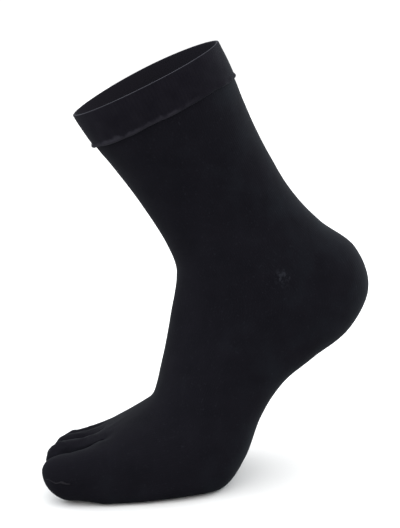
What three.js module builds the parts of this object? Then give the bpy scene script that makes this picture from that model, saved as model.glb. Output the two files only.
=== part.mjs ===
// A five-toe sock for a right foot, hollow, in the form it takes when it is worn on tiptoe with the heel raised.
// Millimetres. +Z is up, the toes point towards -X, and the inner side of the foot, with the big toe, faces -Y.
// The tables measure heights from the floor. The finished group is moved so that its origin lies in the leg's axis,
// at the middle of the cuff.
import * as THREE from "three";

// Driving sizes.
const KNIT_WALL = 1.2;
const CUFF_WALL = 2.0;
const CUFF_PROUD = 1.0;
const CUFF_EDGE_ROUND = 0.6;
const SEAM_GAP = 0.3;
const FLOOR = 0;

// How finely the cloth is divided.
const RINGS_PER_ROW = 3;
const CUFF_RINGS = 3;
const TOE_SIDE_POINTS = 3;
const TOE_SHAFT_RINGS = 4;
const TOE_DOME_DEGREES = [0, 30, 54, 74];
const TOE_DOME_SHARE = 0.33;
const TOE_ROUND = 2.2;

// The sock's tube, from the cuff's mouth to the toe roots, one row for each section.
// front and back: where the section meets the shin and calf or, lower down, the top and the sole of the foot, as [x, z].
// inner and outer: how far it reaches from the middle plane towards the inner and the outer side of the foot.
// widest: where it is widest, as a share of the way from back to front.
// roundFront and roundBack: 2 is an ellipse, and more is squarer.
// lean: how much lower the top lies on the outer side, as a share of its height. sweep: how far back that side lies.
// riseInner and riseOuter: how far the two sides arch up along the leg.
const SECTIONS = [
  { at: "cuff_mouth", front: [-78.5, 235.8], back: [9.5, 280.2], inner: 43.5, outer: 43.5, widest: 0.45, roundFront: 2, roundBack: 2, lean: 0, sweep: 0, riseInner: 0, riseOuter: 1.3 },
  { at: "cuff_edge", front: [-65.5, 216.2], back: [20.5, 258.5], inner: 42.5, outer: 42.5, widest: 0.47, roundFront: 2, roundBack: 2, lean: 0, sweep: 0, riseInner: 2, riseOuter: 2 },
  { at: "leg_top", front: [-54.8, 203], back: [27.2, 243], inner: 40.5, outer: 40.5, widest: 0.5, roundFront: 2, roundBack: 2, lean: 0, sweep: 0, riseInner: 1.2, riseOuter: 1.2 },
  { at: "leg_middle", front: [-42, 186], back: [35, 226.5], inner: 37, outer: 37, widest: 0.5, roundFront: 2, roundBack: 2, lean: 0, sweep: 0, riseInner: 0.5, riseOuter: 0.5 },
  { at: "leg_low", front: [-30.5, 169], back: [45.5, 207.5], inner: 34, outer: 34, widest: 0.5, roundFront: 2, roundBack: 2, lean: 0, sweep: 0, riseInner: 0, riseOuter: 0 },
  { at: "ankle", front: [-20.5, 152], back: [59.5, 186], inner: 34, outer: 34, widest: 0.52, roundFront: 2, roundBack: 2, lean: 0, sweep: 0, riseInner: 0, riseOuter: 0 },
  { at: "ankle_bones", front: [-15.2, 139], back: [79, 166], inner: 36.5, outer: 36, widest: 0.56, roundFront: 2.1, roundBack: 2, lean: 0, sweep: 0, riseInner: 0, riseOuter: 0 },
  { at: "heel_top", front: [-14.8, 130], back: [102.4, 148.6], inner: 37, outer: 36, widest: 0.56, roundFront: 2.1, roundBack: 2.2, lean: 0, sweep: 0, riseInner: 0, riseOuter: 0 },
  { at: "heel_back", front: [-16.3, 120], back: [111.6, 122], inner: 37, outer: 36, widest: 0.52, roundFront: 2.1, roundBack: 2.4, lean: 0, sweep: 0, riseInner: 0, riseOuter: 0 },
  { at: "heel_under", front: [-18.3, 110], back: [98.6, 95.3], inner: 36.5, outer: 36, widest: 0.5, roundFront: 2, roundBack: 2.4, lean: 0, sweep: 0, riseInner: 0, riseOuter: 0 },
  { at: "arch_back", front: [-20.3, 98], back: [75, 77.7], inner: 36.5, outer: 37, widest: 0.5, roundFront: 2, roundBack: 2.3, lean: 0, sweep: 0, riseInner: 0, riseOuter: 0 },
  { at: "arch", front: [-23, 84], back: [54, 62.3], inner: 37.5, outer: 39.5, widest: 0.48, roundFront: 2, roundBack: 2.3, lean: 0, sweep: 1, riseInner: 0, riseOuter: 0 },
  { at: "arch_front", front: [-26.5, 70], back: [38.6, 41.8], inner: 40.5, outer: 42.5, widest: 0.46, roundFront: 2, roundBack: 2.4, lean: 0.03, sweep: 2, riseInner: 0, riseOuter: 0 },
  { at: "ball_back", front: [-29.5, 60], back: [27, 15.6], inner: 44, outer: 44.5, widest: 0.42, roundFront: 2, roundBack: 2.5, lean: 0.05, sweep: 4, riseInner: 0, riseOuter: 0 },
  { at: "ball", front: [-33.5, 53.5], back: [10, -1], inner: 46.5, outer: 46.5, widest: 0.38, roundFront: 2.1, roundBack: 3.2, lean: 0.08, sweep: 8, riseInner: 0, riseOuter: 0 },
  { at: "ball_front", front: [-41, 49], back: [-20, -1.5], inner: 49, outer: 47.5, widest: 0.36, roundFront: 2.2, roundBack: 5, lean: 0.12, sweep: 13, riseInner: 0, riseOuter: 0 },
  { at: "toe_joint", front: [-51, 44], back: [-43, -1.5], inner: 49.3, outer: 46.5, widest: 0.36, roundFront: 2.4, roundBack: 6, lean: 0.16, sweep: 17, riseInner: 0, riseOuter: 0 },
  { at: "toe_root", front: [-62, 38.5], back: [-62, -1.5], inner: 48.2, outer: 45.5, widest: 0.36, roundFront: 2.6, roundBack: 5.5, lean: 0.18, sweep: 19, riseInner: 0, riseOuter: 0 },
];

// The pieces that the tube is knitted in under the cuff, and the sections between which each one runs.
const TUBE_PIECES = [
  { name: "leg", from: "cuff_edge", to: "ankle_bones" },
  { name: "heel", from: "ankle_bones", to: "arch_back" },
  { name: "foot", from: "arch_back", to: "toe_root" },
];

// The toe pockets, from the inner side out, one row for each toe.
// share: its part of the width at the toe roots. tip: [x, y, z] of its foremost point. under: how far its end is off the
// floor. wide and thick: its round part's width and height. points: the points across its top, and across its underside.
const TOES = [
  { name: "toe_big", share: 0.3, tip: [-106, -31.5, 19.5], under: 1, wide: 26.5, thick: 29, points: 6 },
  { name: "toe_second", share: 0.19, tip: [-101.5, -9, 20], under: 8, wide: 17.2, thick: 23, points: 4 },
  { name: "toe_third", share: 0.18, tip: [-95.2, 8, 19], under: 8, wide: 16, thick: 21.5, points: 4 },
  { name: "toe_fourth", share: 0.165, tip: [-88.5, 24, 18], under: 6, wide: 15, thick: 20.6, points: 4 },
  { name: "toe_little", share: 0.165, tip: [-76, 39.5, 12.5], under: 2.5, wide: 14.6, thick: 18, points: 4 },
];

const LAST_ROW = SECTIONS.length - 1;
const CUFF_EDGE_ROW = SECTIONS.findIndex((row) => row.at === "cuff_edge");

const lerp = THREE.MathUtils.lerp;
const signedPower = (value, power) => Math.sign(value) * Math.abs(value) ** power;

// A smooth curve through the values before, at and after a place between two rows.
function smoothBetween(a, b, c, d, share) {
  const slopeIn = (c - a) / 2;
  const slopeOut = (d - b) / 2;
  const cubic = 2 * (b - c) + slopeIn + slopeOut;
  const square = 3 * (c - b) - 2 * slopeIn - slopeOut;
  return ((cubic * share + square) * share + slopeIn) * share + b;
}

// The tube's section at a place between the rows, where 0 is the first row and LAST_ROW the last.
function sectionAt(place) {
  const low = Math.min(Math.floor(place), LAST_ROW - 1);
  const rows = [low - 1, low, low + 1, low + 2].map((i) => SECTIONS[THREE.MathUtils.clamp(i, 0, LAST_ROW)]);
  const read = (pick) => smoothBetween(...rows.map(pick), place - low);
  return {
    front: new THREE.Vector3(read((r) => r.front[0]), 0, read((r) => r.front[1])),
    back: new THREE.Vector3(read((r) => r.back[0]), 0, read((r) => r.back[1])),
    inner: read((r) => r.inner),
    outer: read((r) => r.outer),
    widest: read((r) => r.widest),
    roundFront: read((r) => r.roundFront),
    roundBack: read((r) => r.roundBack),
    lean: read((r) => r.lean),
    sweep: read((r) => r.sweep),
    riseInner: read((r) => r.riseInner),
    riseOuter: read((r) => r.riseOuter),
  };
}

// A point of the tube. angle runs from 0 at the inner side to pi at the outer side, over the front or the back.
function tubePoint(section, overFront, angle) {
  const power = 2 / (overFront ? section.roundFront : section.roundBack);
  const across = -signedPower(Math.cos(angle), power);
  const height = Math.sin(angle) ** power;
  const span = new THREE.Vector3().subVectors(section.front, section.back);
  const reach = overFront
    ? (1 - section.widest) * height * (1 - (section.lean * across) / (2 - section.lean))
    : -section.widest * height;
  const upLeg = new THREE.Vector3(span.z, 0, -span.x).normalize();
  const point = section.back.clone().addScaledVector(span, section.widest + reach);
  point.addScaledVector(upLeg, (across < 0 ? section.riseInner : section.riseOuter) * across ** 2);
  point.x += section.sweep * ((across + 1) / 2) ** 2;
  point.y = across * (across < 0 ? section.inner : section.outer);
  point.z = Math.max(point.z, FLOOR);
  return point;
}

// The angles where the toes part, and the points between them, over the front or over the back of the tube.
function anglesOf(overFront) {
  const root = SECTIONS[LAST_ROW];
  const power = (overFront ? root.roundFront : root.roundBack) / 2;
  let y = -root.inner;
  let angle = 0;
  return TOES.map((toe) => {
    y += toe.share * (root.inner + root.outer);
    const across = THREE.MathUtils.clamp(y / (y < 0 ? root.inner : root.outer), -1, 1);
    const next = Math.acos(-signedPower(across, power));
    const angles = Array.from({ length: toe.points + 1 }, (_, i) => lerp(angle, next, i / toe.points));
    angle = next;
    return angles;
  });
}

const FRONT_ANGLES = anglesOf(true);
const BACK_ANGLES = anglesOf(false);

// All points of the tube at one place: over the front from the inner side to the outer, and back under the sole.
function tubeRing(place) {
  const section = sectionAt(place);
  const over = FRONT_ANGLES.flatMap((angles) => angles.slice(0, -1));
  const under = BACK_ANGLES.flatMap((angles) => angles.slice(1)).reverse();
  return [...over.map((a) => tubePoint(section, true, a)), ...under.map((a) => tubePoint(section, false, a))];
}

// The outward direction at each point of a run of rings.
function outwardOf(rings) {
  const around = rings[0].length;
  const last = rings.length - 1;
  return rings.map((ring, i) => {
    const middle = ring.reduce((sum, p) => sum.add(p), new THREE.Vector3()).divideScalar(around);
    return ring.map((point, j) => {
      const along = rings[Math.min(i + 1, last)][j].clone().sub(rings[Math.max(i - 1, 0)][j]);
      const across = ring[(j + 1) % around].clone().sub(ring[(j + around - 1) % around]);
      const normal = along.cross(across).normalize();
      return normal.dot(point.clone().sub(middle)) < 0 ? normal.negate() : normal;
    });
  });
}

// The same rings moved outwards by a distance, or inwards where it is negative.
function offset(rings, distance) {
  const outward = outwardOf(rings);
  return rings.map((ring, i) => ring.map((p, j) => p.clone().addScaledVector(outward[i][j], distance)));
}

// The same ring with its points on the line where the toes leave the foot, or ahead of it by a gap.
function ontoRootLine(ring, ahead) {
  const root = SECTIONS[LAST_ROW];
  return ring.map((point) => {
    const across = point.y / (point.y < 0 ? root.inner : root.outer);
    return point.clone().setX(root.front[0] + root.sweep * ((across + 1) / 2) ** 2 - ahead);
  });
}

// A closed surface through loops of points, each joined to the next. It ends in the first loop again, or at two tips.
function skin(loops, tips) {
  const around = loops[0].length;
  const points = loops.flat();
  const faces = [];
  const quad = (a, b, c, d) => faces.push(a, b, c, a, c, d);
  const seams = tips ? loops.length - 1 : loops.length;
  for (let i = 0; i < seams; i += 1) {
    const here = i * around;
    const there = ((i + 1) % loops.length) * around;
    for (let j = 0; j < around; j += 1) {
      const next = (j + 1) % around;
      quad(here + j, there + j, there + next, here + next);
    }
  }
  if (tips) {
    const first = points.push(tips[0]) - 1;
    const last = points.push(tips[1]) - 1;
    const end = (loops.length - 1) * around;
    for (let j = 0; j < around; j += 1) {
      const next = (j + 1) % around;
      faces.push(first, j, next);
      faces.push(last, end + next, end + j);
    }
  }
  return facingOut(points, faces);
}

// The surface as a geometry, with its faces turned so that they enclose a volume.
function facingOut(points, faces) {
  let volume = 0;
  for (let i = 0; i < faces.length; i += 3) {
    const [a, b, c] = faces.slice(i, i + 3).map((k) => points[k]);
    volume += a.dot(b.clone().cross(c));
  }
  const geometry = new THREE.BufferGeometry().setFromPoints(points);
  geometry.setIndex(volume < 0 ? faces.reverse() : faces);
  return geometry;
}

function fabric(name, colour) {
  return new THREE.MeshStandardMaterial({ name, color: colour, roughness: 0.95, metalness: 0 });
}

const knit = fabric("black fine-gauge knit", 0x17171b);
const welt = fabric("black elastic welt", 0x19191d);

function piece(name, geometry, material) {
  geometry.computeVertexNormals();
  const mesh = new THREE.Mesh(geometry, material);
  mesh.name = name;
  return mesh;
}

// The doubled welt round the mouth, proud of the leg by CUFF_PROUD, with its two edges rounded off.
function cuff() {
  const places = Array.from({ length: CUFF_RINGS + 1 }, (_, i) => (i / CUFF_RINGS) * CUFF_EDGE_ROW);
  const rings = places.map(tubeRing);
  const outside = offset(rings, CUFF_PROUD);
  const inside = offset(rings, CUFF_PROUD - CUFF_WALL);
  const length = outside[0][0].distanceTo(outside[CUFF_RINGS][0]);
  const round = (edge, next, other) => {
    const inner = (a, b) => a.clone().lerp(b, CUFF_EDGE_ROUND / CUFF_WALL);
    const kept = edge.map((p, j) => inner(p, other[j]));
    const moved = edge.map((p, j) => p.clone().lerp(next[j], (CUFF_EDGE_ROUND * CUFF_RINGS) / length));
    return [kept, moved];
  };
  const [mouthOut, mouthOutSide] = round(outside[0], outside[1], inside[0]);
  const [mouthIn, mouthInSide] = round(inside[0], inside[1], outside[0]);
  const [hem, hemSide] = round(outside[CUFF_RINGS], outside[CUFF_RINGS - 1], inside[CUFF_RINGS]);
  const loops = [
    mouthOut,
    mouthOutSide,
    ...outside.slice(1, -1),
    hemSide,
    hem,
    ...inside.slice(1).reverse(),
    mouthInSide,
    mouthIn,
  ];
  return piece("cuff", skin(loops), welt);
}

// A run of rings whose first ring is moved along the cloth until it lies SEAM_GAP clear of where it was.
function afterGap(rings) {
  const [first, second, ...others] = rings;
  const moved = first.map((point, j) => {
    const along = second[j].clone().sub(point).normalize();
    const across = first[(j + 1) % first.length].clone().sub(first.at(j - 1)).normalize();
    return point.clone().addScaledVector(along, SEAM_GAP / Math.sqrt(1 - along.dot(across) ** 2));
  });
  return [moved, second, ...others];
}

// The leg, the heel and the foot, knitted as one tube, from just under the cuff to the toe roots.
function tube() {
  const ringOf = (at) => (SECTIONS.findIndex((row) => row.at === at) - CUFF_EDGE_ROW) * RINGS_PER_ROW;
  const count = ringOf("toe_root");
  const rings = Array.from({ length: count + 1 }, (_, i) => tubeRing(CUFF_EDGE_ROW + i / RINGS_PER_ROW));
  const inside = offset(rings, -KNIT_WALL);
  inside[count] = ontoRootLine(inside[count], 0);
  return TUBE_PIECES.map(({ name, from, to }) => {
    const part = (all) => afterGap(all.slice(ringOf(from), ringOf(to) + 1));
    return piece(name, skin([...part(rings), ...part(inside).reverse()]), knit);
  });
}

// The outline of one toe where it leaves the foot: its share of the tube's last ring, closed by straight sides
// against its neighbours.
function toeRoot(index) {
  const section = sectionAt(LAST_ROW);
  const over = FRONT_ANGLES[index].map((a) => tubePoint(section, true, a));
  const under = BACK_ANGLES[index].map((a) => tubePoint(section, false, a)).reverse();
  const side = (from, to) =>
    Array.from({ length: TOE_SIDE_POINTS }, (_, i) => from.clone().lerp(to, (i + 1) / (TOE_SIDE_POINTS + 1)));
  const hasInner = index > 0;
  const hasOuter = index < TOES.length - 1;
  const parted = (point, sign) => point.clone().setY(point.y + (sign * SEAM_GAP) / 2);
  if (hasInner) {
    over[0] = parted(over[0], 1);
    under[under.length - 1] = parted(under[under.length - 1], 1);
  }
  if (hasOuter) {
    over[over.length - 1] = parted(over[over.length - 1], -1);
    under[0] = parted(under[0], -1);
  }
  const outerSide = hasOuter ? side(over[over.length - 1], under[0]) : [];
  const innerSide = hasInner ? side(under[under.length - 1], over[0]) : [];
  const closing = hasInner ? under : under.slice(0, -1);
  const ring = [...over, ...outerSide, ...(hasOuter ? closing : closing.slice(1)), ...innerSide];
  return ontoRootLine(ring, SEAM_GAP);
}

// One toe pocket: it leaves the foot with the outline of its root, turns round along its shaft and ends in a dome.
function toe(index) {
  const { name, tip, under, wide, thick } = TOES[index];
  const root = toeRoot(index);
  const box = new THREE.Box3().setFromPoints(root);
  const middle = box.getCenter(new THREE.Vector3());
  const size = box.getSize(new THREE.Vector3());
  const nose = new THREE.Vector3(...tip);
  const dome = TOE_DOME_SHARE * (wide + thick);
  const shaft = middle.x - nose.x - dome;
  const angles = root.map((p) => Math.atan2((p.z - middle.z) / size.z, (p.y - middle.y) / size.y));
  const stations = [
    ...Array.from({ length: TOE_SHAFT_RINGS }, (_, i) => ({ along: (shaft * i) / TOE_SHAFT_RINGS, swell: 1 })),
    ...TOE_DOME_DEGREES.map(THREE.MathUtils.degToRad).map((a) => ({
      along: shaft + dome * Math.sin(a),
      swell: Math.cos(a),
    })),
  ];
  const rings = stations.map(({ along, swell }) => {
    const share = Math.min(along / shaft, 1);
    const turned = THREE.MathUtils.smoothstep(share, 0, 1);
    const domedOver = 1 - (1 - share) ** 2;
    const domed = Math.max(along - shaft, 0) / dome;
    const width = lerp(size.y, wide, turned);
    const height = lerp(size.z, thick, share);
    const x = middle.x - along;
    const y = lerp(middle.y, nose.y, turned);
    const z = lerp(under * share ** 1.5 + height / 2, nose.z, domed ** 2);
    return root.map((p, j) => {
      const roundY = (width / 2) * signedPower(Math.cos(angles[j]), 2 / TOE_ROUND);
      const roundZ = (height / 2) * signedPower(Math.sin(angles[j]), 2 / TOE_ROUND);
      const straightY = (p.y - middle.y) * (width / size.y);
      const straightZ = (p.z - middle.z) * (height / size.z);
      const rounded = angles[j] > 0 ? domedOver : turned;
      return new THREE.Vector3(
        lerp(p.x - along, x, turned),
        y + swell * lerp(straightY, roundY, rounded),
        Math.max(z + swell * lerp(straightZ, roundZ, rounded), FLOOR),
      );
    });
  });
  const inside = offset(rings, -KNIT_WALL);
  inside[0] = ontoRootLine(inside[0], SEAM_GAP);
  const innerNose = nose.clone().setX(nose.x + KNIT_WALL);
  return piece(name, skin([...rings.reverse(), ...inside], [nose, innerNose]), knit);
}

const sock = new THREE.Group();
sock.add(cuff(), ...tube(), ...TOES.map((_, index) => toe(index)));
const held = sectionAt(CUFF_EDGE_ROW / 2);
const legAxis = held.front.clone().add(held.back).multiplyScalar(0.5);
sock.position.copy(legAxis).negate();

export default sock;
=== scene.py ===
"""Dresses the CAD frame of a black five-toe sock, worn on tiptoe: its knit, doubled welt, toe seams and studio."""

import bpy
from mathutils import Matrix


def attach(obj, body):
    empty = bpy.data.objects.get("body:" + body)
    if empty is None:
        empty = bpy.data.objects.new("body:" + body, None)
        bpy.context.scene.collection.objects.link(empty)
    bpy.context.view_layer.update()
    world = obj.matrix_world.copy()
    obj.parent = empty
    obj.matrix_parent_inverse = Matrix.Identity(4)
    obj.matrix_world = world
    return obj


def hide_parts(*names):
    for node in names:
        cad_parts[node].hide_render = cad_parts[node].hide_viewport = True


bl_info = {
    "name": "Toe Sock",
    "version": (1, 0, 0),
    "blender": (4, 5, 0),
    "location": "3D View > Sidebar > Toe Sock",
    "description": "Builds a black fine-gauge toe sock as worn on tiptoe, over its CAD frame",
    "category": "Add Mesh",
}

import math

import bmesh
import bpy
from mathutils import Vector, noise

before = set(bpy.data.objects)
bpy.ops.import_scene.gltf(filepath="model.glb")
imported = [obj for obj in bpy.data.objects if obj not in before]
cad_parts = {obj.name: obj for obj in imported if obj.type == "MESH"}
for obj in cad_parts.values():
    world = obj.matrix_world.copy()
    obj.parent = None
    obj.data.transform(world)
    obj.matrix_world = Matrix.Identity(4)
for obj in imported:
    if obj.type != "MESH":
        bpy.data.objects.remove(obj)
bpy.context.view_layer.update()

MM = 0.001

# ---------------------------------------------------------------- the sock's form, in millimetres from the floor
# One row for each section of the tube, from the mouth of the cuff to the roots of the toes: where it meets the front
# and the back of the leg (the top and the sole of the foot), its reach to the inner and outer side, the place of its
# widest line, how square its front and back are, how it leans and sweeps, and how its two sides arch.
SECTION_WORDS = (
    "front_x", "front_z", "back_x", "back_z", "inner", "outer", "widest",
    "round_front", "round_back", "lean", "sweep", "rise_inner", "rise_outer",
)  # fmt: skip
SECTIONS = (
    (-78.5, 235.8, 9.5, 280.2, 43.5, 43.5, 0.45, 2, 2, 0, 0, 0, 1.3),
    (-65.5, 216.2, 20.5, 258.5, 42.5, 42.5, 0.47, 2, 2, 0, 0, 2, 2),
    (-54.8, 203, 27.2, 243, 40.5, 40.5, 0.5, 2, 2, 0, 0, 1.2, 1.2),
    (-42, 186, 35, 226.5, 37, 37, 0.5, 2, 2, 0, 0, 0.5, 0.5),
    (-30.5, 169, 45.5, 207.5, 34, 34, 0.5, 2, 2, 0, 0, 0, 0),
    (-20.5, 152, 59.5, 186, 34, 34, 0.52, 2, 2, 0, 0, 0, 0),
    (-15.2, 139, 79, 166, 36.5, 36, 0.56, 2.1, 2, 0, 0, 0, 0),
    (-14.8, 130, 102.4, 148.6, 37, 36, 0.56, 2.1, 2.2, 0, 0, 0, 0),
    (-16.3, 120, 111.6, 122, 37, 36, 0.52, 2.1, 2.4, 0, 0, 0, 0),
    (-18.3, 110, 98.6, 95.3, 36.5, 36, 0.5, 2, 2.4, 0, 0, 0, 0),
    (-20.3, 98, 75, 77.7, 36.5, 37, 0.5, 2, 2.3, 0, 0, 0, 0),
    (-23, 84, 54, 62.3, 37.5, 39.5, 0.48, 2, 2.3, 0, 1, 0, 0),
    (-26.5, 70, 38.6, 41.8, 40.5, 42.5, 0.46, 2, 2.4, 0.03, 2, 0, 0),
    (-29.5, 60, 27, 15.6, 44, 44.5, 0.42, 2, 2.5, 0.05, 4, 0, 0),
    (-33.5, 53.5, 10, -1, 46.5, 46.5, 0.38, 2.1, 3.2, 0.08, 8, 0, 0),
    (-41, 49, -20, -1.5, 49, 47.5, 0.36, 2.2, 5, 0.12, 13, 0, 0),
    (-51, 44, -43, -1.5, 49.3, 46.5, 0.36, 2.4, 6, 0.16, 17, 0, 0),
    (-62, 38.5, -62, -1.5, 48.2, 45.5, 0.36, 2.6, 5.5, 0.18, 19, 0, 0),
    (-66.5, 36.5, -66.5, -1.5, 47.7, 45, 0.36, 2.6, 5.3, 0.18, 19.5, 0, 0),
)
LAST_ROW = len(SECTIONS) - 1
HEM_ROW = 1

# The toe pockets from the inner side out: share of the width, foremost point, height off the floor, width, thickness
# of the round part, and the steps across its top.
TOES = (
    (0.3, (-106, -31.5, 19.5), 1, 26.5, 29, 6),
    (0.19, (-101.5, -9, 20), 8, 17.2, 23, 4),
    (0.18, (-95.2, 8, 19), 8, 16, 21.5, 4),
    (0.165, (-88.5, 24, 18), 6, 15, 20.6, 4),
    (0.165, (-76, 39.5, 12.5), 2.5, 14.6, 18, 4),
)
# How much of its width and thickness a toe's round tip takes, how square the toe is, and the gap between two toes.
TOE_DOME_SHARE = 0.33
TOE_ROUND = 2.2
TOE_APART = 0.3

# How fine the knit's mesh is: columns to each step of a toe, rings from section to section, points down the web
# between two toes, and rings along a toe's shaft and round its tip.
FINER = 4
RINGS_PER_ROW = 11
FORK_POINTS = 13
SHAFT_RINGS = 12
DOME_RINGS = 16
# How far the knit runs up inside the hem, in sections.
TUCK = 1.6 / 23

# A 168-needle sock: its wales (the columns of stitches) and courses (the rows), at their worn, stretched size.
WALES = 168
COURSE = 1.15
WALE = 1.5

# The last stitch of the heel gore: section, and degrees from the inner side under the back.
GORE = (7.15, 4.5)

# Troughs and, below zero, ridges of the worn cloth: over the front or not, (section, degrees from the inner side)
# from end to end, width and depth in millimetres. The outer side has the like of what shows on the inner.
FOLDS = (
    # The second toe's root, which lifts a little off the foot.
    (True, ((17.98, 72), (17.85, 78), (17.9, 86)), 1.2, 0.5),
    (True, ((17.98, 90), (17.9, 98)), 1.1, 0.25),
    # The big toe's root dips where it meets the second toe.
    (True, ((18, 70), (18.1, 64)), 4.5, 1.4),
    # Slack over the toes' roots.
    (True, ((17.6, 66), (17.3, 60), (16.9, 56)), 2.4, 0.22),
    (True, ((17.7, 112), (17.4, 120)), 2.2, 0.2),
    # Where the toes part under the ball, the web pulls the cloth into a short crease.
    (False, ((18, 71.3), (17.6, 70)), 1.8, 0.6),
    (False, ((18, 88.9), (17.5, 89)), 1.6, 0.5),
    (False, ((18, 103.2), (17.5, 103)), 1.6, 0.5),
    (False, ((18, 125.6), (17.5, 125)), 1.6, 0.5),
    # Below the second toe's root the foot swells a little where the strap of cloth lies slack.
    (True, ((17.2, 84), (16.6, 86), (16.1, 90)), 3, -0.3),
    # The heel gore's last stitches, which pucker the cloth at each side of the ankle.
    (False, ((6.95, 1.5), (7.15, 4.5), (7.3, 6)), 0.9, -0.55),
    (False, ((7.2, 9), (7.6, 12), (8.1, 13)), 1.6, 0.35),
    (False, ((6.7, 6), (6.2, 9)), 1.5, 0.3),
    (True, ((7.2, 3), (7.5, 8)), 1.4, 0.3),
    (False, ((6.9, 178), (7.1, 175.5), (7.3, 173)), 0.9, -0.5),
    (False, ((7.2, 170), (7.7, 167)), 1.6, 0.35),
    (True, ((7.1, 177), (7.4, 171)), 1.4, 0.3),
)


def smooth_between(a, b, c, d, share):
    """A smooth curve through four rows' values, read between the middle two."""
    slope_in, slope_out = (c - a) / 2, (d - b) / 2
    cubic = 2 * (b - c) + slope_in + slope_out
    square = 3 * (c - b) - 2 * slope_in - slope_out
    return ((cubic * share + square) * share + slope_in) * share + b


def section_at(place):
    """The tube's section at a place between the rows, by its named sizes."""
    low = min(int(place), LAST_ROW - 1)
    rows = [SECTIONS[min(max(i, 0), LAST_ROW)] for i in range(low - 1, low + 3)]
    return dict(zip(SECTION_WORDS, (smooth_between(*four, place - low) for four in zip(*rows))))


def signed_power(value, power):
    """A value raised to a power, with its sign kept."""
    return math.copysign(abs(value) ** power, value)


def lerp(a, b, share):
    """The value at that share of the way from a to b."""
    return a + (b - a) * share


def tube_point(section, over_front, angle):
    """A point of the tube. angle runs from 0 at the inner side to pi at the outer, over the front or the back."""
    power = 2 / section["round_front" if over_front else "round_back"]
    across = -signed_power(math.cos(angle), power)
    height = max(math.sin(angle), 0) ** power
    back = Vector((section["back_x"], 0, section["back_z"]))
    span = Vector((section["front_x"], 0, section["front_z"])) - back
    lean = section["lean"]
    if over_front:
        reach = (1 - section["widest"]) * height * (1 - lean * across / (2 - lean))
    else:
        reach = -section["widest"] * height
    up_leg = Vector((span.z, 0, -span.x)).normalized()
    rise = section["rise_inner"] if across < 0 else section["rise_outer"]
    point = back + span * (section["widest"] + reach) + up_leg * rise * across**2
    point.x += section["sweep"] * ((across + 1) / 2) ** 2
    point.y = across * (section["inner"] if across < 0 else section["outer"])
    point.z = max(point.z, 0)
    return point


def leg_axis():
    """The middle of the cuff, where the part has its origin."""
    middle = section_at(HEM_ROW / 2)
    return Vector((middle["front_x"] + middle["back_x"], 0, middle["front_z"] + middle["back_z"])) / 2


ORIGIN = leg_axis()


def to_part(point):
    """A point in millimetres from the floor, as metres in the part's frame."""
    return (point - ORIGIN) * MM


def toe_angles(over_front):
    """For each toe, the angles across its share of the tube, over the front or the back."""
    root = section_at(LAST_ROW)
    power = root["round_front" if over_front else "round_back"] / 2
    y, angle, found = -root["inner"], 0, []
    for share, _, _, _, _, steps in TOES:
        y += share * (root["inner"] + root["outer"])
        across = min(max(y / (root["inner"] if y < 0 else root["outer"]), -1), 1)
        following = math.acos(-signed_power(across, power))
        count = steps * FINER
        found.append([lerp(angle, following, i / count) for i in range(count + 1)])
        angle = following
    return found


def tube_columns():
    """The (over front, angle) of each column of the knit: over the front to the outer side, and back under the sole."""
    over = [a for angles in toe_angles(True) for a in angles[:-1]]
    under = [a for angles in toe_angles(False) for a in angles[1:]]
    return [(True, a) for a in over] + [(False, a) for a in reversed(under)]


def fold_lines():
    """The folds as lines of points in millimetres, with their width and depth."""
    lines = []
    for over_front, marks, width, depth in FOLDS:
        points = [tube_point(section_at(place), over_front, math.radians(angle)) for place, angle in marks]
        lines.append((points, width, depth))
    # The cloth dimples just behind each end of a toe's closing seam, swells above it, and is drawn in along its
    # underside.
    up = Vector((0, 0, 1))
    for path in seam_paths():
        for side in (path, path[::-1]):
            end = side[0]
            away = (end - side[1]).normalized()
            lines.append(([end + away * 1.1, end + away * 3.2 - up * 0.8], 1.3, 0.6))
            lines.append(([end - away * 2 + up * 2.4, end + away * 2 + up * 1.6], 1.1, -0.3))
            lines.append(([p - up * 2 for p in side[:8:2]], 1.3, 0.45))
    return lines


def fold_depth(point, lines):
    """How deep the folds sink the cloth at a point, in millimetres. A fold fades out towards its second end."""
    depth = 0
    for points, width, deepest in lines:
        nearest, fade, whole = 1e9, 1, len(points) - 1
        for i in range(whole):
            a, b = points[i], points[i + 1]
            along = b - a
            share = min(max((point - a).dot(along) / along.length_squared, 0), 1)
            far = (point - a - along * share).length
            if far < nearest:
                nearest, fade = far, 1 - ((i + share) / whole) ** 2
        if nearest < 3 * width:
            depth += deepest * fade * math.exp(-((nearest / width) ** 2))
    return depth


def unevenness(point):
    """The slight waviness of cloth that is knitted by machine and pulled over a foot, in millimetres. It is lumpiest
    on the small round toes."""
    small_toes = min(max((-64 - point.x) / 8, 0), 1) * min(max((point.y + 24) / 8, 0.2), 1)
    lumps = small_toes * (0.5 * noise.noise(point / 3.6) + 0.22 * noise.noise(point / 1.7))
    return 0.16 * noise.noise(point / 17) + 0.07 * noise.noise(point / 6 + Vector((7, 3, 1))) + lumps


def toe_root(index, ring):
    """The numbers of the tube's last ring that one toe takes over: its top and its underside, each from one side on."""
    starts = [0]
    for toe in TOES:
        starts.append(starts[-1] + toe[5] * FINER)
    count = 2 * starts[-1]
    top = [ring[j % count] for j in range(starts[index], starts[index + 1] + 1)]
    bottom = [ring[(count - j) % count] for j in range(starts[index + 1], starts[index] - 1, -1)]
    return top, bottom


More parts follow.
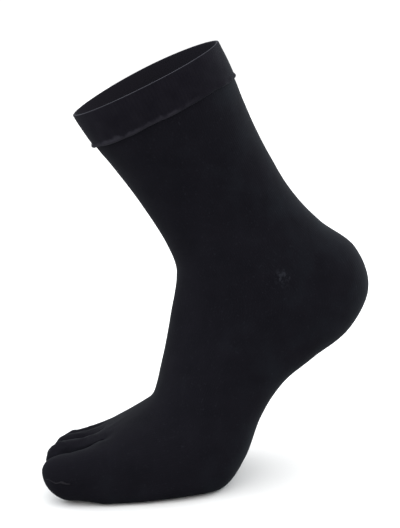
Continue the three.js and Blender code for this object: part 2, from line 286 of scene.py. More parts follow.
def toe_loops(index, root):
    """The rings of one toe pocket past its root, and its foremost point."""
    _, tip, under, wide, thick, _ = TOES[index]
    low = Vector([min(p[k] for p in root) for k in range(3)])
    high = Vector([max(p[k] for p in root) for k in range(3)])
    middle, size, nose = (low + high) / 2, high - low, Vector(tip)
    dome = TOE_DOME_SHARE * (wide + thick)
    shaft = middle.x - nose.x - dome
    angles = [math.atan2((p.z - middle.z) / size.z, (p.y - middle.y) / size.y) for p in root]
    stations = [(shaft * i / SHAFT_RINGS, 1) for i in range(1, SHAFT_RINGS)]
    turns = [math.radians(86 * (i / DOME_RINGS) ** 0.9) for i in range(DOME_RINGS + 1)]
    stations += [(shaft + dome * math.sin(a), math.cos(a)) for a in turns]
    loops = []
    for along, swell in stations:
        share = min(along / shaft, 1)
        turned = share * share * (3 - 2 * share)
        domed_over = 1 - (1 - share) ** 1.5
        domed = max(along - shaft, 0) / dome
        width, height = lerp(size.y, wide, turned), lerp(size.z, thick, share)
        centre_y = lerp(middle.y, nose.y, turned)
        centre_z = lerp(under * share**1.5 + height / 2, nose.z, domed**2)
        loop = []
        for p, angle in zip(root, angles):
            round_y = width / 2 * signed_power(math.cos(angle), 2 / TOE_ROUND)
            round_z = height / 2 * signed_power(math.sin(angle), 2 / TOE_ROUND)
            rounded = domed_over if angle > 0 else turned
            y = centre_y + swell * lerp((p.y - middle.y) * width / size.y, round_y, rounded)
            z = centre_z + swell * lerp((p.z - middle.z) * height / size.z, round_z, rounded)
            loop.append(Vector((lerp(p.x - along, middle.x - along, turned), y, max(z, 0))))
        loops.append(loop)
    return loops, nose


class Knitting:
    """A mesh in the making: points in millimetres, and faces with a place in the stitches (wale, course) per corner."""

    def __init__(self):
        self.points, self.faces, self.stitches = [], [], []

    def add_ring(self, points):
        """Adds points, and gives their numbers."""
        first = len(self.points)
        self.points.extend(points)
        return list(range(first, first + len(points)))

    def join(self, upper, lower, wales, upper_wales, courses):
        """Faces between two closed rings of point numbers. wales has one more value than the rings have points."""
        count = len(upper)
        for j in range(count):
            k = (j + 1) % count
            self.faces.append((upper[j], upper[k], lower[k], lower[j]))
            above = ((upper_wales[j], courses[0]), (upper_wales[j + 1], courses[0]))
            below = ((wales[j + 1], courses[1]), (wales[j], courses[1]))
            self.stitches.append(above + below)

    def close(self, ring, tip, wales, courses):
        """Faces from a closed ring of point numbers to one point."""
        count = len(ring)
        for j in range(count):
            self.faces.append((ring[j], ring[(j + 1) % count], tip))
            middle = (wales[j] + wales[j + 1]) / 2
            self.stitches.append(((wales[j], courses[0]), (wales[j + 1], courses[0]), (middle, courses[1])))

    def mesh(self, name):
        """The mesh, with the places in the stitches as its UV map."""
        mesh = bpy.data.meshes.new(name)
        mesh.from_pydata([p[:] for p in self.points], [], self.faces)
        layer = mesh.uv_layers.new(name="stitches")
        places = [value for corners in self.stitches for corner in corners for value in corner]
        layer.data.foreach_set("uv", places)
        mesh.validate()
        return mesh


def ring_wales(ring, half):
    """The wale at each column of a ring: as many over the front as over the back, evenly spread over each."""
    lengths = [(ring[(j + 1) % len(ring)] - ring[j]).length for j in range(len(ring))]
    front, back = sum(lengths[:half]), sum(lengths[half:])
    wales, gone = [0], 0
    for j, length in enumerate(lengths):
        gone += length / front if j < half else length / back
        wales.append(gone * WALES / 2)
    return wales


def course_length(upper, lower):
    """The courses between two rings of points."""
    return sum((b - a).length for a, b in zip(upper, lower)) / len(upper) / COURSE


def knit_tube(knit):
    """Knits the leg, heel and foot. Gives the points of its last ring, their numbers and wales, and its course."""
    columns = tube_columns()
    half = len(columns) // 2
    steps = (LAST_ROW - HEM_ROW) * RINGS_PER_ROW
    places = [HEM_ROW - TUCK] + [HEM_ROW + i / RINGS_PER_ROW for i in range(steps + 1)]
    course, upper = 0, None
    for place in places:
        section = section_at(place)
        ring = [tube_point(section, over_front, angle) for over_front, angle in columns]
        numbers, wales = knit.add_ring(ring), ring_wales(ring, half)
        if upper:
            following = course + course_length(upper[0], ring)
            knit.join(upper[1], numbers, wales, upper[2], (course, following))
            course = following
        upper = (ring, numbers, wales)
    return *upper, course


def knit_webs(knit, root):
    """Knits the web line between each toe and the next, from the top of the foot to the sole. Gives its points, their
    numbers, and its length in wales."""
    webs = []
    for index in range(len(TOES) - 1):
        top, bottom = toe_root(index, root)
        line = [top[-1].lerp(bottom[0], (i + 1) / (FORK_POINTS + 1)) for i in range(FORK_POINTS)]
        webs.append((line, knit.add_ring(line), (bottom[0] - top[-1]).length / WALE))
    return webs


def set_apart(stitches, sides, ahead=0):
    """Stitches (point, number, wale) of a toe's outline, each point moved forwards and to its side, off the toes
    beside it, and each wale moved ahead."""
    return [
        (Vector((point.x - TOE_APART, point.y + side, point.z)), number, wale + ahead)
        for (point, number, wale), side in zip(stitches, sides)
    ]


def web_stitches(points, numbers, length, here, meets):
    """A web's stitches from the wale here on, and the wale at its end, which is whole wales off the one it meets."""
    turn = meets - here
    length += (turn - length) - round(turn - length)
    wales = [here + length * (i + 1) / (len(points) + 1) for i in range(len(points))]
    return list(zip(points, numbers, wales)), here + length


def toe_outline(index, root, webs):
    """The closed line that a toe is knitted on from, as stitches, and the wale at its end. It runs over the top of the
    toe, down the web to the next toe, back under the toe, and up the web to the toe before."""
    top, bottom = toe_root(index, root)
    inner, outer = index > 0, index < len(TOES) - 1
    # Its outer side moves inwards and its inner side outwards, wherever there is a toe beside it.
    to_inner, to_outer = (-TOE_APART / 2 if outer else 0), (TOE_APART / 2 if inner else 0)
    outline = set_apart(top, [to_outer] + [0] * (len(top) - 2) + [to_inner])
    here = top[-1][2]
    if outer:
        web, here = web_stitches(*webs[index], here, bottom[0][2])
        outline += set_apart(web, [to_inner] * len(web))
    ahead = here - bottom[0][2]
    under = bottom[(0 if outer else 1) : (None if inner else -1)]
    outline += set_apart(under, [to_inner] + [0] * (len(under) - 2) + [to_outer], ahead)
    if not inner:
        return outline, WALES + ahead
    points, numbers, length = webs[index - 1]
    web, end = web_stitches(points[::-1], numbers[::-1], length, outline[-1][2], outline[0][2])
    return outline + set_apart(web, [to_outer] * len(web)), end


def knit_toe(knit, index, outline, end, course):
    """Knits one toe pocket from its outline to its closed tip. end is the wale at the outline's end."""
    ring, numbers, wales = (list(part) for part in zip(*outline))
    wales.append(end)
    loops, nose = toe_loops(index, ring)
    for loop in loops:
        following = course + course_length(ring, loop)
        loop_numbers = knit.add_ring(loop)
        knit.join(numbers, loop_numbers, wales, wales, (course, following))
        ring, numbers, course = loop, loop_numbers, following
    tip = knit.add_ring([nose])[0]
    knit.close(numbers, tip, wales, (course, course + course_length(ring, [nose] * len(ring))))


def knit_mesh(uneven):
    """The leg, heel, foot and toes as one run of knit, its outer face only, in metres in the part's frame."""
    knit = Knitting()
    points, numbers, wales, course = knit_tube(knit)
    webs = knit_webs(knit, points)
    root = list(zip(points, numbers, wales))
    for index in range(len(TOES)):
        knit_toe(knit, index, *toe_outline(index, root, webs), course)
    mesh = knit.mesh("knit")
    settle(mesh, [point for line, _, _ in webs for point in line], uneven)
    return mesh


# Where the knit is softened between the toes, in millimetres: this far from a web, ahead of this x and above this
# height. Then in how many rounds.
FORK_REACH = 3
FORK_BACK = -38
FORK_LOW = 0.2
FORK_ROUNDS = 3
# The sole is below this height and ahead of this x.
SOLE_HIGH = 0.3
SOLE_BACK = 8


def settle(mesh, webs, uneven):
    """Softens the forks between the toes, presses the folds in, and moves the mesh to the part's frame in metres."""
    work = bmesh.new()
    work.from_mesh(mesh)
    near = [
        v
        for v in work.verts
        if v.co.x < FORK_BACK and v.co.z > FORK_LOW and any((v.co - p).length < FORK_REACH for p in webs[::3])
    ]
    for _ in range(FORK_ROUNDS):
        bmesh.ops.smooth_vert(work, verts=near, factor=0.4, use_axis_x=True, use_axis_y=True, use_axis_z=True)
    work.normal_update()
    lines = fold_lines()
    for v in work.verts:
        sink = fold_depth(v.co, lines) + unevenness(v.co) * uneven
        # Nothing swells below the sole, which stands on the floor.
        if v.co.z < SOLE_HIGH and v.co.x < SOLE_BACK:
            sink = max(sink, 0)
        v.co -= v.normal * sink
        v.co.z = max(v.co.z, 0)
    for v in work.verts:
        v.co = to_part(v.co)
    for face in work.faces:
        face.smooth = True
    work.to_mesh(mesh)
    work.free()


# ---------------------------------------------------------------- the doubled welt
WELT_COLUMNS = 192
WELT_RIBS = 132
# The welt's height, and half its thickness, in millimetres.
WELT_LONG = 23.5
WELT_HALF = 0.95
# The hem is plumpest at this turn from the inner side, towards the shin.
HEM_SIDE = 0.95
# A small step down the tube or round it, which shows the way its face looks.
NUDGE = 0.02


def welt_profile():
    """The welt's cut from inside the hem over the fold to the hem's roll: (share of its length, how far it stands out,
    how much of the hem's roll, how much of the hem's wave). Closed, so its end meets its start."""
    top = WELT_HALF / WELT_LONG
    inside = [(0.985 - 0.09 * i, -WELT_HALF, 0, 0.9 - 0.1 * i) for i in range(10)] + [(top + 0.03, -WELT_HALF, 0, 0)]
    fold = []
    for i in range(9):
        turn = math.radians(-80 + 20 * i)
        fold.append((top - top * math.cos(turn), WELT_HALF * math.sin(turn), 0, 0))
    outside = [(top + 0.03, WELT_HALF, 0, 0)]
    for i in range(10):
        share = 0.14 + 0.075 * i
        outside.append((share, WELT_HALF + 0.18 * math.sin(math.pi * share), 0, (i / 10) ** 2))
    roll = [
        (0.86, 0.9, 0.05, 0.85), (0.89, 0.9, 0.4, 0.95), (0.915, 0.95, 0.85, 1), (0.945, 0.98, 1, 1),
        (0.972, 0.9, 0.9, 1), (0.992, 0.7, 0.7, 1), (1.004, 0.35, 0.4, 1), (1.006, -0.05, 0.1, 1),
        (1.004, -0.4, 0, 1), (0.998, -0.75, 0, 1),
    ]  # fmt: skip
    return inside + fold + outside + roll


def hem_wave(turn):
    """How far the hem drops (share of the welt's length) and how plump its roll is, by the turn round the leg."""
    drop = 0.016 * math.sin(3 * turn + 0.6) + 0.014 * math.sin(7 * turn + 2.1) + 0.008 * math.sin(13 * turn)
    plump = 0.5 + 0.5 * math.cos(turn - HEM_SIDE)
    for high, waves, start in ((0.2, 5, 1), (0.16, 11, 4), (0.12, 23, 0)):
        plump += high * math.sin(waves * turn + start)
    return drop, max(plump, 0.1)


def round_the_leg(place, turn):
    """A point of the tube at a turn right round the leg, from its inner side over the front."""
    over_front = turn < math.pi
    return tube_point(section_at(place), over_front, turn if over_front else math.tau - turn)


def welt_ring(share, out, rolled, waved, uneven):
    """One row of the welt's profile, carried round the leg."""
    ring = []
    for j in range(WELT_COLUMNS):
        turn = math.tau * j / WELT_COLUMNS
        drop, plump = hem_wave(turn)
        place = HEM_ROW * (share + drop * waved)
        shown = max(place, 0)
        here, lower = round_the_leg(shown, turn), round_the_leg(shown + NUDGE, turn)
        if place < 0:
            here += (here - lower) * (-place / NUDGE)
        beside = round_the_leg(shown, turn + NUDGE)
        normal = (beside - here).cross(lower - here).normalized()
        lumpy = uneven * noise.noise(here / 5)
        lift = out + rolled * plump * (1 + 0.7 * lumpy) + (0.12 * lumpy if out > 0 else 0)
        ring.append(here + normal * lift)
    return ring


def welt_mesh(uneven):
    """The doubled welt as one closed shell, in metres in the part's frame."""
    knit = Knitting()
    rows = welt_profile()
    rings = [welt_ring(*row, uneven) for row in rows]
    numbers = [knit.add_ring(ring) for ring in rings]
    ribs = [WELT_RIBS * j / WELT_COLUMNS for j in range(WELT_COLUMNS + 1)]
    # The courses are counted in millimetres down from the fold, below zero inside.
    fold = next(i for i, row in enumerate(rows) if abs(row[1]) < 1e-6)
    down = [0]
    for a, b in zip(rings, rings[1:] + rings[:1]):
        down.append(down[-1] + sum((q - p).length for p, q in zip(a, b)) / len(a))
    down = [d - down[fold] for d in down]
    for i in range(len(rows)):
        knit.join(numbers[i], numbers[(i + 1) % len(rows)], ribs, ribs, (down[i], down[i + 1]))
    mesh = knit.mesh("welt")
    for v in mesh.vertices:
        v.co = to_part(v.co)
    mesh.shade_smooth()
    return mesh


# ---------------------------------------------------------------- the closing seams of the toes
# How thick the seam is on the big toe and on the others, in seam radii, how thin it is pulled at the least, and how
# deep it is sunk, each as a share.
SEAM_ON_BIG_TOE = 1.4
SEAM_ON_SMALL_TOE = 0.65
SEAM_THINNEST = 0.22
SEAM_SUNK = 0.55
# The rings before the nose over which the seam's straying dies down.
SEAM_CALM = 6


def level_point(loop, side, height):
    """The point of a toe's ring at that height, on its inner side (-1) or its outer side (1)."""
    middle = sum(p.y for p in loop) / len(loop)
    ahead = [p for p in loop if (p.y - middle) * side > 0]
    above = min((p for p in ahead if p.z >= height), key=lambda p: p.z, default=max(ahead, key=lambda p: p.z))
    below = max((p for p in ahead if p.z < height), key=lambda p: p.z, default=above)
    share = (height - below.z) / (above.z - below.z) if above.z > below.z else 0
    return below.lerp(above, min(max(share, 0), 1))


def seam_paths():
    """For each toe, the line of its closing seam: from its inner side round the tip to its outer side. It wanders, and
    lifts towards its two ends."""
    columns = tube_columns()
    root = [tube_point(section_at(LAST_ROW), over_front, angle) for over_front, angle in columns]
    paths = []
    for index, (_, _, _, _, thick, _) in enumerate(TOES):
        top, bottom = toe_root(index, root)
        loops, nose = toe_loops(index, top + bottom)
        sides = []
        for side in (-1, 1):
            line = []
            for k, loop in enumerate(loops[SHAFT_RINGS:-1]):
                middle = (min(p.z for p in loop) + max(p.z for p in loop)) / 2
                wander = noise.noise(Vector((index * 5 + side, k * 6.2 / DOME_RINGS, 0.5)))
                strayed = 0.06 * wander + 0.07 * (1 - k / DOME_RINGS) - 0.06
                calmed = min((DOME_RINGS - k) / SEAM_CALM, 1)
                line.append(level_point(loop, side, middle + thick * strayed * calmed))
            sides.append(line)
        paths.append(sides[0] + [nose] + sides[1][::-1])
    return paths


def smooth_path(points, steps):
    """The same line with more points on it, rounded."""
    fine = []
    for i in range(len(points) - 1):
        four = [points[min(max(k, 0), len(points) - 1)] for k in (i - 1, i, i + 1, i + 2)]
        for s in range(steps):
            fine.append(Vector([smooth_between(*(p[k] for p in four), s / steps) for k in range(3)]))
    return fine + [points[-1]]


def lay_seams(radius):
    """Lays the closing seams of the five toes as thin ridges, half sunk in the knit: one round curve for each toe, all
    made one mesh. radius is in metres."""
    bpy.ops.object.select_all(action="DESELECT")
    bpy.ops.curve.primitive_nurbs_path_add(radius=radius)
    piece = bpy.context.active_object
    curve = piece.data
    curve.splines.clear()
    for index, path in enumerate(seam_paths()):
        centre = sum(path, Vector()) / len(path)
        fine = smooth_path(path, 3)
        whole = SEAM_ON_SMALL_TOE if index else SEAM_ON_BIG_TOE
        spline = curve.splines.new("POLY")
        spline.points.add(len(fine) - 1)
        for k, place in enumerate(fine):
            share = k / (len(fine) - 1)
            ends = min(share, 1 - share) * len(fine) / 5
            # It is pulled thin round the nose, and shows most on the big toe.
            plump = 2.2 * (abs(2 * share - 1) - 0.4) + 0.35 * noise.noise(place / 2)
            size = whole * min(max(plump, SEAM_THINNEST), 1) * min(1, 0.3 + 0.5 * ends)
            sunk = (centre - place).normalized() * size * radius / MM * SEAM_SUNK
            spline.points[k].co = (*to_part(place + sunk), 1)
            spline.points[k].radius = size
    curve.dimensions = "3D"
    curve.bevel_depth = radius
    curve.bevel_resolution = 2
    curve.use_fill_caps = True
    bpy.ops.object.convert(target="MESH")
    bpy.ops.object.mode_set(mode="EDIT")
    bpy.ops.mesh.select_all(action="SELECT")
    bpy.ops.mesh.remove_doubles(threshold=1e-6)
    bpy.ops.mesh.normals_make_consistent(inside=False)
    bpy.ops.object.mode_set(mode="OBJECT")
    bpy.ops.object.shade_smooth()
    piece.name = piece.data.name = "toe_seams"
    return piece


# ---------------------------------------------------------------- materials
TIMES = {"operation": "MULTIPLY"}
TIMES_PLUS = {"operation": "MULTIPLY_ADD"}
OVER = {"operation": "DIVIDE"}
PLUS = {"operation": "ADD"}
COSINE = {"operation": "COSINE"}
SIZE_OF = {"operation": "ABSOLUTE"}
COLOURS = {"data_type": "RGBA"}


def linear(hex_colour):
    """An sRGB hex colour as linear red, green and blue."""
    channels = [int(hex_colour[i : i + 2], 16) / 255 for i in (0, 2, 4)]
    return tuple(c / 12.92 if c <= 0.04045 else ((c + 0.055) / 1.055) ** 2.4 for c in channels)


def put(tree, kind, settings=None, **links):
    """Adds a node. settings go to its own properties, and links to its sockets, from a socket or as a value."""
    node = tree.nodes.new(kind)
    for name, value in (settings or {}).items():
        setattr(node, name, value)
    for name, value in links.items():
        key = int(name[1:]) if name[0] == "_" and name[1:].isdigit() else name.replace("_", " ")
        if isinstance(value, bpy.types.NodeSocket):
            tree.links.new(value, node.inputs[key])
        else:
            node.inputs[key].default_value = value
    return node


def new_material(name):
    """An empty material, and its nodes."""
    material = bpy.data.materials.new(name)
    material.use_nodes = True
    material.node_tree.nodes.clear()
    return material, material.node_tree


def cloth_shader(tree, colour, normal, gloss, sheen):
    """Matt cloth. The sheen is the glow of its fuzz against the light."""
    shader = put(
        tree,
        "ShaderNodeBsdfPrincipled",
        Base_Color=colour,
        Normal=normal,
        Roughness=0.92,
        IOR=1.45,
        Specular_IOR_Level=gloss,
        Sheen_Weight=sheen,
        Sheen_Roughness=0.35,
        Sheen_Tint=(*linear("ddf7ff"), 1),
    )
    put(tree, "ShaderNodeOutputMaterial", Surface=shader.outputs["BSDF"])


def wave(tree, value, offset=None):
    """A cosine hill and valley, from 0 to 1, for each whole step of a value."""
    turned = put(tree, "ShaderNodeMath", TIMES, _0=value, _1=math.tau)
    if offset is not None:
        turned = put(tree, "ShaderNodeMath", PLUS, _0=turned.outputs[0], _1=offset)
    hill = put(tree, "ShaderNodeMath", COSINE, _0=turned.outputs[0])
    return put(tree, "ShaderNodeMath", TIMES_PLUS, _0=hill.outputs[0], _1=0.5, _2=0.5).outputs[0]


def combed_cotton_jersey(name, colours, bump, gore):
    """Black combed cotton and nylon, knitted as fine plain jersey. Seen close, the wales stand up as soft ribs of
    small loops. From further off it is a flat, deep black with a faint fuzz that lights up at the edges."""
    deep, face, cool, pale = colours
    material, tree = new_material(name)
    stitches = put(tree, "ShaderNodeUVMap", {"uv_map": "stitches"})
    split = put(tree, "ShaderNodeSeparateXYZ", Vector=stitches.outputs[0])
    place = put(tree, "ShaderNodeTexCoord").outputs["Object"]
    wales = wave(tree, split.outputs["X"])
    # Each loop bends down between two wales, so the courses are drawn as a chain of shallow bows.
    bow = put(tree, "ShaderNodeMath", TIMES, _0=wales, _1=2.4)
    courses = wave(tree, split.outputs["Y"], bow.outputs[0])
    loops = put(tree, "ShaderNodeMath", TIMES, _0=courses, _1=0.45)
    height = put(tree, "ShaderNodeMath", PLUS, _0=wales, _1=loops.outputs[0])
    # Fibres of about 0.4 mm on the face of the cloth, and patches of about 15 mm where it is stretched or rubbed.
    fibres = put(tree, "ShaderNodeTexNoise", Vector=place, Scale=2500, Detail=3)
    patches = put(tree, "ShaderNodeTexNoise", Vector=place, Scale=65, Detail=4, Roughness=0.6)
    fuzz = put(tree, "ShaderNodeMath", TIMES_PLUS, _0=fibres.outputs[0], _1=0.5, _2=height.outputs[0])
    normal = put(tree, "ShaderNodeBump", Strength=bump, Distance=0.00022, Height=fuzz.outputs[0])
    # Painted shade: the knit is a little darker in the hollows between its wales and loops.
    shade = put(tree, "ShaderNodeMath", TIMES, _0=height.outputs[0], _1=0.07)
    worn = put(tree, "ShaderNodeMath", TIMES_PLUS, _0=patches.outputs[0], _1=0.55, _2=shade.outputs[0])
    lit = put(tree, "ShaderNodeMapRange", Value=worn.outputs[0], From_Min=0.07, From_Max=0.77)
    colour = put(tree, "ShaderNodeMix", COLOURS, Factor=lit.outputs[0], _6=deep, _7=face)
    # Painted sheen: in mottled places 30 mm across, most of all down the back, the black is painted a little cooler.
    slow = put(tree, "ShaderNodeTexNoise", Vector=place, Scale=33, Detail=5, Roughness=0.65)
    turn = put(tree, "ShaderNodeMath", OVER, _0=split.outputs["X"], _1=WALES)
    behind = wave(tree, turn.outputs[0], math.pi / 2)
    more = put(tree, "ShaderNodeMath", TIMES_PLUS, _0=behind, _1=0.36, _2=0.66)
    mottled = put(tree, "ShaderNodeMath", TIMES, _0=slow.outputs[0], _1=more.outputs[0])
    cooler = put(tree, "ShaderNodeMapRange", Value=mottled.outputs[0], From_Min=0.42, From_Max=0.68, To_Max=0.6)
    colour = put(tree, "ShaderNodeMix", COLOURS, Factor=cooler.outputs[0], _6=colour.outputs[2], _7=cool)
    # Small pills of fuzz, about 1 mm across.
    pills = put(tree, "ShaderNodeTexNoise", Vector=place, Scale=800, Detail=1)
    pilled = put(tree, "ShaderNodeMapRange", Value=pills.outputs[0], From_Min=0.64, From_Max=0.76, To_Max=0.1)
    colour = put(tree, "ShaderNodeMix", COLOURS, Factor=pilled.outputs[0], _6=colour.outputs[2], _7=pale)
    # At each side of the ankle the gore's last stitch is pulled thin, and its yarn shows paler in threads over 6 mm.
    mirrored = put(tree, "ShaderNodeVectorMath", SIZE_OF, _0=place)
    away = put(tree, "ShaderNodeVectorMath", {"operation": "DISTANCE"}, _0=mirrored.outputs[0], _1=gore)
    off = away.outputs["Value"]
    nearby = put(tree, "ShaderNodeMapRange", Value=off, From_Min=0.002, From_Max=0.0075, To_Min=1, To_Max=0)
    threads = put(tree, "ShaderNodeTexNoise", Vector=place, Scale=420, Detail=3)
    thin = put(tree, "ShaderNodeMapRange", Value=threads.outputs[0], From_Min=0.5, From_Max=0.66, To_Max=0.38)
    pulled = put(tree, "ShaderNodeMath", TIMES, _0=nearby.outputs[0], _1=thin.outputs[0])
    colour = put(tree, "ShaderNodeMix", COLOURS, Factor=pulled.outputs[0], _6=colour.outputs[2], _7=pale)
    cloth_shader(tree, colour.outputs[2], normal.outputs[0], 0.03, 0.014)
    return material


def elastic_welt_rib(name, colours, bump):
    """The doubled welt: fine one-by-one rib over elastic yarn. It is a little greyer than the leg, with faint upright
    ribs of 2 mm. A thin pale line is painted along its fold as a highlight, and a paler band along the hem's roll."""
    deep, face, pale, bare, highlighted = colours
    material, tree = new_material(name)
    stitches = put(tree, "ShaderNodeUVMap", {"uv_map": "stitches"})
    split = put(tree, "ShaderNodeSeparateXYZ", Vector=stitches.outputs[0])
    place = put(tree, "ShaderNodeTexCoord").outputs["Object"]
    round_leg = put(tree, "ShaderNodeMath", OVER, _0=split.outputs["X"], _1=WELT_RIBS)
    half_round = put(tree, "ShaderNodeMath", OVER, _0=split.outputs["X"], _1=WELT_RIBS / 2)
    rows = put(tree, "ShaderNodeMath", OVER, _0=split.outputs["Y"], _1=1.1)
    ribs = wave(tree, split.outputs["X"])
    courses = wave(tree, rows.outputs[0])
    fibres = put(tree, "ShaderNodeTexNoise", Vector=place, Scale=2200, Detail=3)
    patches = put(tree, "ShaderNodeTexNoise", Vector=place, Scale=110, Detail=3)
    # The ribs are stretched flat in places.
    faint = put(tree, "ShaderNodeMath", TIMES, _0=ribs, _1=patches.outputs[0])
    height = put(tree, "ShaderNodeMath", TIMES_PLUS, _0=courses, _1=0.2, _2=faint.outputs[0])
    fuzz = put(tree, "ShaderNodeMath", TIMES_PLUS, _0=fibres.outputs[0], _1=0.5, _2=height.outputs[0])
    normal = put(tree, "ShaderNodeBump", Strength=bump, Distance=0.00025, Height=fuzz.outputs[0])
    # Painted shade: the welt is a little darker between its ribs.
    shade = put(tree, "ShaderNodeMath", TIMES, _0=faint.outputs[0], _1=0.15)
    worn = put(tree, "ShaderNodeMath", TIMES_PLUS, _0=patches.outputs[0], _1=0.55, _2=shade.outputs[0])
    lit = put(tree, "ShaderNodeMapRange", Value=worn.outputs[0], From_Min=0.09, From_Max=0.74)
    colour = put(tree, "ShaderNodeMix", COLOURS, Factor=lit.outputs[0], _6=deep, _7=face)
    # Millimetres down the welt from its fold are above zero outside, and below zero inside, where the bare elastic
    # makes it greyer.
    down = split.outputs["Y"]
    inside = put(tree, "ShaderNodeMapRange", Value=down, From_Min=-1.5, From_Max=-0.3, To_Min=1, To_Max=0)
    colour = put(tree, "ShaderNodeMix", COLOURS, Factor=inside.outputs[0], _6=colour.outputs[2], _7=bare)
    # A painted highlight on the rolled hem: a paler band along a ragged edge, most of all towards the shin.
    lumps = put(tree, "ShaderNodeTexNoise", Vector=place, Scale=160, Detail=2)
    ragged = put(tree, "ShaderNodeMath", TIMES_PLUS, _0=lumps.outputs[0], _1=9, _2=down)
    hem = put(tree, "ShaderNodeMapRange", Value=ragged.outputs[0], From_Min=25.2, From_Max=27.6)
    shin = wave(tree, round_leg.outputs[0], -HEM_SIDE)
    most = put(tree, "ShaderNodeMapRange", Value=shin, From_Min=0.64, From_Max=0.84, To_Min=0.05, To_Max=1)
    hem_highlight = put(tree, "ShaderNodeMath", TIMES, _0=hem.outputs[0], _1=most.outputs[0])
    colour = put(tree, "ShaderNodeMix", COLOURS, Factor=hem_highlight.outputs[0], _6=colour.outputs[2], _7=highlighted)
    # A painted highlight: a pale line 0.7 mm to each side of the fold, strongest at the two sides of the leg.
    sides = wave(tree, half_round.outputs[0])
    fold_highlight_strength = put(tree, "ShaderNodeMath", TIMES_PLUS, _0=sides, _1=0.6, _2=0.4)
    away = put(tree, "ShaderNodeMath", SIZE_OF, _0=down).outputs[0]
    line = put(tree, "ShaderNodeMapRange", Value=away, From_Min=0.25, From_Max=0.75, To_Min=1, To_Max=0)
    shown = put(tree, "ShaderNodeMath", TIMES, _0=line.outputs[0], _1=fold_highlight_strength.outputs[0])
    colour = put(tree, "ShaderNodeMix", COLOURS, Factor=shown.outputs[0], _6=colour.outputs[2], _7=pale)
    cloth_shader(tree, colour.outputs[2], normal.outputs[0], 0.03, 0.014)
    return material


def linked_seam_thread(name, colour):
    """The closing seam: nylon thread in tight slanting stitches, about 80 along each toe. It is smoother than the knit,
    so it shines a little."""
    material, tree = new_material(name)
    along = put(tree, "ShaderNodeUVMap", {"uv_map": "UVMap"})
    split = put(tree, "ShaderNodeSeparateXYZ", Vector=along.outputs[0])
    slant = put(tree, "ShaderNodeMath", TIMES, _0=split.outputs["Y"], _1=math.tau)
    turns = put(tree, "ShaderNodeMath", TIMES, _0=split.outputs["X"], _1=80)
    ridges = wave(tree, turns.outputs[0], slant.outputs[0])
    normal = put(tree, "ShaderNodeBump", Strength=0.6, Distance=0.0002, Height=ridges)
    # Painted shade and highlight: the thread is darker between its slanting stitches, and its colour is paler than the
    # knit's as a highlight of the ridge.
    deep = [c * 0.7 for c in colour]
    shade = put(tree, "ShaderNodeMix", COLOURS, Factor=ridges, _6=(*deep, 1), _7=(*colour, 1))
    cloth_shader(tree, shade.outputs[2], normal.outputs[0], 0.08, 0.03)
    return material


def studio_paper(name, colour):
    """Matt white studio paper, evenly lit."""
    material, tree = new_material(name)
    place = put(tree, "ShaderNodeTexCoord")
    grain = put(tree, "ShaderNodeTexNoise", Vector=place.outputs["Object"], Scale=900, Detail=2)
    normal = put(tree, "ShaderNodeBump", Strength=0.05, Distance=0.0002, Height=grain.outputs[0])
    shader = put(
        tree,
        "ShaderNodeBsdfPrincipled",
        Base_Color=(*colour, 1),
        Roughness=0.95,
        Specular_IOR_Level=0.1,
        Normal=normal.outputs[0],
    )
    put(tree, "ShaderNodeOutputMaterial", Surface=shader.outputs["BSDF"])
    return material


def white_tent(name, level, overhead):
    """A white light tent all round, as bright as level at eye height and as overhead at its top."""
    world = bpy.data.worlds.new(name)
    world.use_nodes = True
    tree = world.node_tree
    tree.nodes.clear()
    place = put(tree, "ShaderNodeTexCoord")
    split = put(tree, "ShaderNodeSeparateXYZ", Vector=place.outputs["Generated"])
    up = split.outputs["Z"]
    power = put(tree, "ShaderNodeMapRange", Value=up, From_Min=0, From_Max=1, To_Min=level, To_Max=overhead)
    light = put(tree, "ShaderNodeBackground", Color=(1, 1, 1, 1), Strength=power.outputs[0])
    put(tree, "ShaderNodeOutputWorld", Surface=light.outputs[0])
    return world


# ---------------------------------------------------------------- what a user may change
class ToeSockSizes(bpy.types.PropertyGroup):
    """Sizes of the cloth."""

    knit_wall: bpy.props.FloatProperty(
        name="Knit thickness",
        description="Thickness of the jersey",
        default=0.0012,
        min=0.0005,
        max=0.003,
        unit="LENGTH",
    )
    seam_radius: bpy.props.FloatProperty(
        name="Seam radius",
        description="Half the thickness of the toes' closing seams",
        default=0.00062,
        min=0.0002,
        max=0.0015,
        unit="LENGTH",
    )
    unevenness: bpy.props.FloatProperty(
        name="Unevenness", description="How wavy the worn cloth is, 1 as on a new sock", default=1, min=0, max=4
    )
    knit_relief: bpy.props.FloatProperty(
        name="Knit relief",
        description="How strongly the stitches stand up",
        default=0.16,
        min=0,
        max=1,
        subtype="FACTOR",
    )


COLOUR = {"size": 3, "min": 0, "max": 1, "subtype": "COLOR"}


